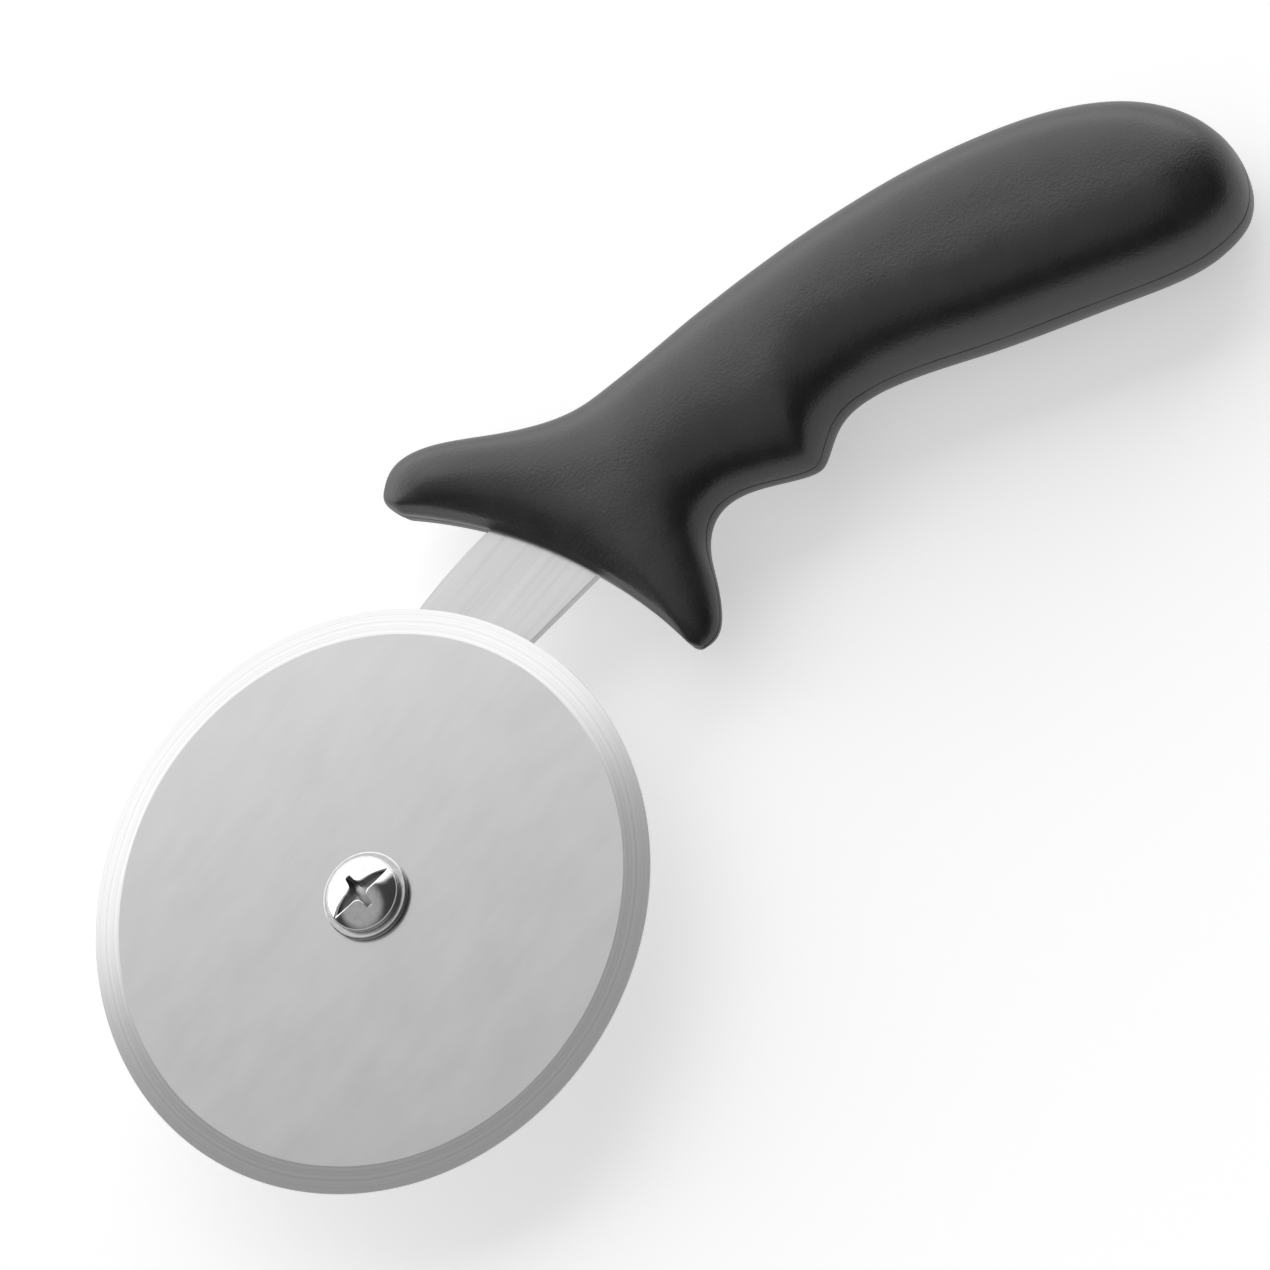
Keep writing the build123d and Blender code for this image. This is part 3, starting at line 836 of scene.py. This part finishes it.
def screw_grid(head_low, head_high, tip_low, thread_high):
    """The screw as one grid round the axle: the dome with its recess, a flat rim, the underside,
    the shank, and the thread, whose crest climbs by one pitch in each turn."""
    dome_edge = head_radius - head_flange
    dome_radius = (dome_edge**2 + head_dome**2) / (2 * head_dome)
    rim_height = head_high - head_dome
    dome_row = np.linspace(dome_first_share, 1, dome_rows)[:, None] * dome_edge
    angle = round_angles(screw_steps)
    along = dome_row * np.cos(angle - slot_angle)
    across = dome_row * np.sin(angle - slot_angle)
    dome = head_high - dome_radius + np.sqrt(dome_radius**2 - dome_row**2)
    depth = recess_depth(along, across)
    side = eased(
        [(dome_edge, rim_height), (dome_edge + head_crease, rim_height), (head_radius, rim_height),
         (head_radius, head_low), (screw_radius, head_low), (screw_radius, thread_high)],
        [0, 0, head_edge_round, head_foot_round, head_root_round, 0], closed=False,
    )
    side_radius = np.broadcast_to(side[1:, 0, None], (len(side) - 1, screw_steps))
    side_height = np.broadcast_to(side[1:, 1, None], (len(side) - 1, screw_steps))
    rows = int((thread_high - tip_low) / thread_row)
    level = np.linspace(thread_high, tip_low, rows)[1:, None]
    turn = ((level + thread_pitch * angle / (2 * math.pi)) / thread_pitch) % 1.0
    cut = np.clip(thread_root_share - np.abs(2 * turn - 1) * thread_flank_share, 0, 1)
    run_in = np.clip((thread_high - level) / thread_run_in, 0, 1)
    taper = np.maximum(screw_tip_chamfer - (level - tip_low), 0)
    thread_radius = np.minimum(screw_radius - thread_depth * cut * run_in, screw_radius - taper)
    thread_height = np.broadcast_to(level, thread_radius.shape)
    radius = np.concatenate([np.broadcast_to(dome_row, along.shape), side_radius, thread_radius])
    height = np.concatenate([dome - depth, side_height, thread_height])
    depths = np.zeros(radius.shape)
    depths[:len(depth)] = depth
    return round_axle(radius, angle, height), depths


def bright_plate(name, darkest, lightest, dullest, clearest):
    """Nickel and chromium plate, nearly a mirror: faint ripples of the metal below it, hairline
    rub marks and a few duller spots. In a recess it is duller, and darkened by depth as painted shade."""
    material, tree, shader = new_material(name)
    shader.inputs["Metallic"].default_value = 1.0
    place = add_node(tree, "ShaderNodeTexCoord").outputs["Object"]
    ripple = noise(tree, place, scale=450.0, detail=2.0)
    rub = noise(tree, place, scale=5000.0, detail=3.0)
    spots = noise(tree, place, scale=900.0, detail=3.0)
    inside = add_node(tree, "ShaderNodeAttribute", {"attribute_name": "recess_share"}).outputs["Fac"]
    plated = ramp(tree, spots, [(0.3, darkest), (0.55, lightest)])
    # Painted shade: the recess's colour darkens with its depth.
    painted_shade = (painted_shade_tone, painted_shade_tone, painted_shade_tone, 1.0)
    tint = add_node(tree, "ShaderNodeMix", {"data_type": "RGBA"}, Factor=inside, i6=plated, i7=painted_shade)
    rough = spread(tree, inside, spread(tree, spots, dullest, clearest), recess_roughness)
    relief = combine(tree, "ADD", combine(tree, "MULTIPLY", ripple, 6.0), rub)
    join_finish(tree, shader, tint.outputs[2], rough, relief, strength=0.15, distance=0.00002)
    return material


washer_low, washer_high = heights_of("head_washer")
washer_corners = flat_ring(bore_radius, head_washer_radius, washer_low, washer_high)
washer_profile = eased(washer_corners, washer_edge_rounds, steps=7)
washer_mesh = grid_mesh("plated_washer", turned(washer_profile, washer_steps))
satin_plate = bright_plate("satin_plate", 0.54, 0.60, 0.30, 0.22)
show(washer_mesh, ring_sharp_angle, satin_plate, "handle", "polished_steel", "head_washer")

screw_low, screw_high = heights_of("axle_screw")
thread_start = -(arm_high[2] - arm_low[2]) / 2
screw_points, screw_depths = screw_grid(washer_high, screw_high, screw_low, thread_start)
screw_ends = [
    (axle[0], axle[1], joint_height + screw_high - cross_depth),
    (axle[0], axle[1], joint_height + screw_low),
]
screw_mesh = grid_mesh("truss_head_screw", screw_points, along=False, poles=screw_ends)
# How deep a place lies in the recess: it darkens the colour there as painted shade and makes it rougher.
recess_share = np.append(np.clip(screw_depths / recess_fade - recess_fade_start, 0, 1), [1.0, 0.0])
screw_mesh.attributes.new("recess_share", "FLOAT", "POINT").data.foreach_set("value", recess_share)
mirror_plate = bright_plate("mirror_plate", 0.62, 0.70, 0.16, 0.08)
show(screw_mesh, screw_sharp_angle, mirror_plate, "handle", "polished_steel", "axle_screw")


# Lock washer and nut: a split spring washer, pressed flat, and a hexagon nut with its corners
# turned down. Both are zinc plated and pull the stack tight against the back of the arm.
lock_washer_radius = 4.4 * mm
lock_washer_slit = 0.9 * mm
lock_washer_slit_angle = math.radians(25.0)
lock_washer_edge_round = 0.1 * mm
lock_washer_sharp_angle = 35.0
lock_washer_steps = 120
nut_across_flats = 8.0 * mm
nut_chamfer = 0.7 * mm
nut_chamfer_angle = math.radians(30.0)
nut_bore_radius = 2.3 * mm
nut_countersink = 0.35 * mm
nut_edge_ease = 0.06 * mm
nut_sharp_angle = 25.0
nut_steps = 144


def lock_washer_grid(low, high):
    """A four-sided profile carried round the axle from one side of the slit to the other. The
    slit leans, so each place turns a little with its height."""
    profile = eased(flat_ring(bore_radius, lock_washer_radius, low, high), lock_washer_edge_round)
    radius, height = profile[:, 0, None], profile[:, 1, None]
    middle = (low + high) / 2
    lean = (height - middle) * math.tan(lock_washer_slit_angle) / radius
    gap = np.arcsin(lock_washer_slit / (2 * math.cos(lock_washer_slit_angle) * radius))
    share = np.linspace(0, 1, lock_washer_steps)
    angle = math.pi / 2 + gap + (2 * math.pi - 2 * gap) * share + lean
    return round_axle(radius, angle, height).swapaxes(0, 1)


def hex_nut_grid(low, high, steps):
    """The nut as a profile that changes as it goes round: the wall lies at the hexagon's radius
    for each angle, and its lower edge is where a cone of the chamfer's angle meets it."""
    angle = round_angles(steps)
    wall = nut_across_flats / 2 / np.cos((angle + math.pi / 6) % (math.pi / 3) - math.pi / 6)
    cone_start = nut_across_flats / math.sqrt(3) - nut_chamfer
    drop = (wall - cone_start) * math.tan(nut_chamfer_angle)
    even = np.ones(steps)
    rows = [
        (nut_bore_radius * even, (high - nut_countersink) * even),
        ((nut_bore_radius + nut_countersink) * even, high * even),
        (wall - nut_edge_ease, high * even),
        (wall, (high - nut_edge_ease) * even),
        (wall, low + drop + nut_edge_ease),
        (wall - nut_edge_ease, low + drop - nut_edge_ease * math.tan(nut_chamfer_angle)),
        (cone_start * even, low * even),
        ((nut_bore_radius + nut_countersink) * even, low * even),
        (nut_bore_radius * even, (low + nut_countersink) * even),
    ]
    radius, height = (np.array(column) for column in zip(*rows))
    return round_axle(radius, angle, height)


lock_points = lock_washer_grid(*heights_of("lock_washer"))
lock_mesh = grid_mesh("split_washer", lock_points, along=False, poles=lock_points[[0, -1]].mean(axis=1))
show(lock_mesh, lock_washer_sharp_angle, zinc, "handle", "zinc_steel", "lock_washer")
nut_mesh = grid_mesh("hexagon_nut", hex_nut_grid(*heights_of("hex_nut"), nut_steps))
show(nut_mesh, nut_sharp_angle, zinc, "handle", "zinc_steel", "hex_nut")


# Camera: a long lens, tipped about 29 degrees from the wheel's axis and rolled so that the grip
# runs from the lower left to the upper right.
camera_target = axle + np.array([57.9, 24.2, 0.0]) * mm
camera_back = np.array([0.23864, -0.41670, 0.87715])
camera_up = np.array([0.39780, 0.86594, 0.30316])
camera_distance = 1084.5 * mm
camera_right = np.cross(camera_up, camera_back)
lens = bpy.data.cameras.new("camera")
lens.sensor_width = 36.0
lens.lens = 184.25
lens.clip_start = 0.05
lens.clip_end = 20.0
camera = bpy.data.objects.new("camera", lens)
bpy.context.scene.collection.objects.link(camera)
place = np.eye(4)
place[:3, 0] = camera_right
place[:3, 1] = camera_up
place[:3, 2] = camera_back
place[:3, 3] = camera_target + camera_back * camera_distance
camera.matrix_world = Matrix(place)
bpy.context.scene.camera = camera


# Floor and light: the tool lies on a wide white sweep. A tall soft wall of light stands on its +Y
# side, a dim round light hangs overhead, and the room on the near side is dark.
sweep_size = 40.0
sweep_drop = 0.0002
paper_tone = 0.85
paper_glow = 0.50
bpy.ops.mesh.primitive_plane_add(size=sweep_size, location=(0.0, 0.0, -sweep_drop))
floor = bpy.context.object
floor.name = "floor"


def white_sweep():
    """Matt white paper that keeps the tool's soft shadow. Seen directly or in a reflection it
    glows a little, so that it reads as white."""
    material, tree, shader = new_material("white_sweep")
    shader.inputs["Base Color"].default_value = (paper_tone, paper_tone, paper_tone, 1.0)
    shader.inputs["Roughness"].default_value = 0.9
    shader.inputs["Specular IOR Level"].default_value = 0.0
    rays = add_node(tree, "ShaderNodeLightPath").outputs
    seen = [rays[kind] for kind in ("Is Camera Ray", "Is Glossy Ray", "Is Transmission Ray")]
    lift = combine(tree, "MULTIPLY", combine(tree, "MAXIMUM", *seen), paper_glow)
    glow = add_node(tree, "ShaderNodeEmission", Strength=lift)
    both = add_node(tree, "ShaderNodeAddShader", i0=shader.outputs["BSDF"], i1=glow.outputs["Emission"])
    tree.links.new(both.outputs["Shader"], tree.nodes["Material Output"].inputs["Surface"])
    return material


floor.data.materials.append(white_sweep())

wall_light = 1.5
wall_foot_light = 0.9
overhead_light = 0.42
room_light = 0.06
wall_edge = (0.072, 0.897, -0.435)
wall_end = (-0.643, 0.766, 0.0)
overhead_middle = (-0.35, -0.05, 0.935)
straight_down = (0.0, 0.0, -1.0)
wall_edge_limits = (-0.03, 0.03)
wall_end_limits = (-0.08, 0.08)
wall_foot_limits = (-0.40, -0.20)
overhead_limits = (0.70, 0.88)
world = bpy.data.worlds.new("studio")
bpy.context.scene.world = world
world.use_nodes = True
tree = world.node_tree
sky = add_node(tree, "ShaderNodeTexCoord").outputs["Generated"]


def sky_share(direction, low, high):
    """Smooth step, from 0 to 1 between two values, of how far the sky direction points along
    the given one. It is 1 in a round part of the sky, or on one side of a line across it."""
    along = add_node(tree, "ShaderNodeVectorMath", {"operation": "DOT_PRODUCT"}, i0=sky, i1=direction)
    smooth = {"interpolation_type": "SMOOTHSTEP"}
    step = add_node(tree, "ShaderNodeMapRange", smooth, Value=along.outputs["Value"], i1=low, i2=high)
    return step.outputs["Result"]


wall_sides = [sky_share(wall_edge, *wall_edge_limits), sky_share(wall_end, *wall_end_limits)]
foot = combine(tree, "MULTIPLY", sky_share(straight_down, *wall_foot_limits), wall_foot_light)
wall = combine(tree, "MULTIPLY", *wall_sides, combine(tree, "ADD", foot, wall_light))
overhead = combine(tree, "MULTIPLY", sky_share(overhead_middle, *overhead_limits), overhead_light)
background = tree.nodes["Background"]
background.inputs["Color"].default_value = (1.0, 1.0, 1.0, 1.0)
tree.links.new(combine(tree, "ADD", wall, overhead, room_light), background.inputs["Strength"])
bpy.context.scene.view_settings.view_transform = "Standard"
